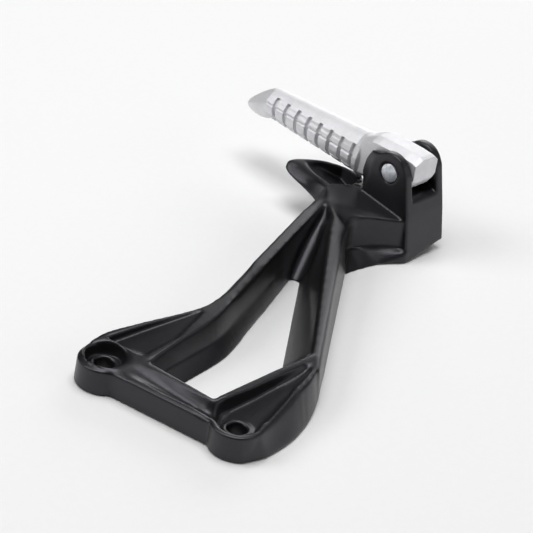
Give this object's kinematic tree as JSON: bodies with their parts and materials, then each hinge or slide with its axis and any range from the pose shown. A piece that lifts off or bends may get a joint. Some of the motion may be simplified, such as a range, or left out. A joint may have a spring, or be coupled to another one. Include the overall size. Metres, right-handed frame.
{
  "type": "folding motorcycle foot peg with hanger bracket",
  "caption": "Folding aluminium passenger foot peg on a black cast hanger bracket with two bolt bosses and a clevis pivot.",
  "frame": {"origin": "bottom centre of the part's bounding box, on the plane of the mounting faces", "axes": "+X along the peg's pivot pin, from the two frame bolts towards the clevis; +Y the way the folded peg points; +Z out of the frame, away from the mounting faces"},
  "size_m": [0.25, 0.2084, 0.0538],
  "materials": {
    "black_coating": "satin",
    "peg_aluminium": "satin",
    "zinc_plate": "satin",
    "spring_steel": "satin",
    "bearing_steel": "polished"
  },
  "bodies": {
    "hanger": {"hanger_bracket": "black_coating", "pivot_pin": "zinc_plate", "plain_washer": "zinc_plate", "retaining_clip": "spring_steel", "detent_plate": "spring_steel"},
    "peg": {"foot_peg": "peg_aluminium", "detent_spring": "spring_steel"},
    "ball": {"detent_ball": "bearing_steel"}
  },
  "joints": [
    {"name": "peg_fold", "type": "hinge", "parent": "hanger", "child": "peg", "pos_m": [0.1058, -0.0064, 0.0427], "axis": [1, 0, 0], "range_deg": [0, 77]},
    {"name": "ball_click", "type": "slide", "parent": "peg", "child": "ball", "axis": [1, 0, 0], "range_m": [0, 0.0006]}
  ]
}
